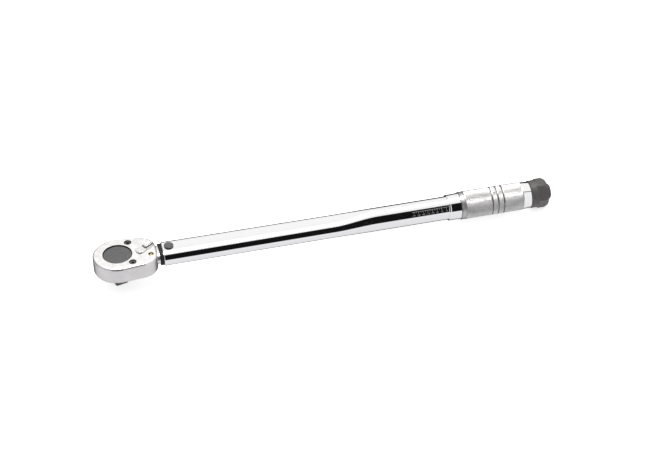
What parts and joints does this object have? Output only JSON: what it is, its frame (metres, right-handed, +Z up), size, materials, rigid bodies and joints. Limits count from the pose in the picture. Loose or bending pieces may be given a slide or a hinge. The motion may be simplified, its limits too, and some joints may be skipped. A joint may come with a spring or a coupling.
{
  "type": "torque wrench",
  "caption": "Click torque wrench: ratchet head with square drive and reversing lever, pivoted in a flattened tube, with a knurled setting grip and a lock knob.",
  "frame": {"origin": "centre of the square drive at the shoulder that a socket seats against", "axes": "+X from the drive axis along the tube to the handle, +Z up the drive axis towards the reversing lever, -Z out of the square drive"},
  "size_m": [0.465, 0.0488, 0.0393],
  "materials": {
    "satin_chrome": "satin chrome plate",
    "chrome_tube": "bright chrome plate",
    "lever_chrome": "polished chrome plate",
    "knurled_chrome": "knurled satin chrome plate",
    "black_oxide": "black oxide",
    "steel": "machined steel",
    "spring_steel": "oiled spring steel",
    "brass": "turned brass",
    "black_rubber": "matt black rubber",
    "black_plastic": "moulded black plastic, fine grained"
  },
  "bodies": {
    "tube_body": {"tube": "chrome_tube", "pivot_pin": "black_oxide", "threaded_insert": "steel", "insert_pins": "steel"},
    "head": {"head_body": "satin_chrome", "cover_plate": "satin_chrome", "cover_screws": "black_oxide", "stop_pin": "brass", "neck_seal": "black_rubber"},
    "drive": {"drive_gear": "black_oxide", "ball_spring": "steel"},
    "detent_ball": {"drive_ball": "steel"},
    "pawl_body": {"pawl": "black_oxide"},
    "lever": {"reversing_lever": "lever_chrome", "lever_inlay": "black_plastic", "lever_ring": "steel", "selector_spring": "steel"},
    "selector": {"selector_plunger": "steel"},
    "piston": {"plunger": "steel", "main_spring": "spring_steel"},
    "tilt": {"tilt_block": "steel"},
    "seat": {"spring_seat": "steel", "thrust_ball": "steel"},
    "handle": {"adjusting_screw": "steel", "thimble": "chrome_tube", "grip": "knurled_chrome", "handle_nut": "steel"},
    "washer": {"lock_washer": "steel"},
    "lock": {"lock_knob": "black_plastic", "knob_insert": "brass", "end_cap": "black_plastic"}
  },
  "joints": [
    {"name": "head_click", "type": "hinge", "parent": "tube_body", "child": "head", "pos_m": [0.0505, 0, 0.01], "axis": [0, 0, 1], "range_deg": [0, 1], "stiffness_Nm_per_rad": 60, "springref_deg": -1.72},
    {"name": "drive_ratchet", "type": "hinge", "parent": "head", "child": "drive", "pos_m": [0, 0, 0.01], "axis": [0, 0, 1], "continuous": true},
    {"name": "ball_press", "type": "slide", "parent": "drive", "child": "detent_ball", "axis": [-0.2419, 0.9703, 0], "range_m": [0, 0.0009], "stiffness_N_per_m": 800, "springref_m": -0.0005, "deforming": ["ball_spring"]},
    {"name": "reversing_lever_turn", "type": "hinge", "parent": "head", "child": "lever", "pos_m": [0.0225, 0, 0.01], "axis": [0, 0, 1], "range_deg": [-64, 0]},
    {"name": "pawl_rock", "type": "hinge", "parent": "head", "child": "pawl_body", "pos_m": [0.0225, 0, 0.01], "axis": [0, 0, 1], "range_deg": [0, 12.2]},
    {"name": "selector_press", "type": "slide", "parent": "lever", "child": "selector", "axis": [0.848, 0.5299, 0], "range_m": [0, 0.0005], "stiffness_N_per_m": 400, "springref_m": -0.0005, "deforming": ["selector_spring"]},
    {"name": "plunger_push", "type": "slide", "parent": "tube_body", "child": "piston", "axis": [1, 0, 0], "range_m": [0, 0.00211], "deforming": ["main_spring"]},
    {"name": "block_tilt", "type": "hinge", "parent": "piston", "child": "tilt", "pos_m": [0.23412, 0.0045, 0.01], "axis": [0, 0, 1], "range_deg": [-15.67, 0]},
    {"name": "setting_travel", "type": "slide", "parent": "tube_body", "child": "seat", "axis": [1, 0, 0], "range_m": [-0.034, 0]},
    {"name": "grip_turn", "type": "hinge", "parent": "seat", "child": "handle", "pos_m": [0.345, 0, 0.01], "axis": [1, 0, 0], "range_deg": [-6121, 0]},
    {"name": "lock_travel", "type": "slide", "parent": "handle", "child": "washer", "axis": [1, 0, 0], "range_m": [0, 0.000625]},
    {"name": "lock_turn", "type": "hinge", "parent": "washer", "child": "lock", "pos_m": [0.425, 0, 0.01], "axis": [1, 0, 0], "range_deg": [0, 180.1]}
  ],
  "couplings": [
    {"joint": "pawl_rock", "follows": "reversing_lever_turn", "ratio": -0.19062},
    {"joint": "plunger_push", "follows": "head_click", "m_per_rad": 0.12032},
    {"joint": "block_tilt", "follows": "head_click", "ratio": -15.66},
    {"joint": "grip_turn", "follows": "setting_travel", "rad_per_m": 3141.6},
    {"joint": "lock_turn", "follows": "lock_travel", "rad_per_m": 5026.5}
  ]
}
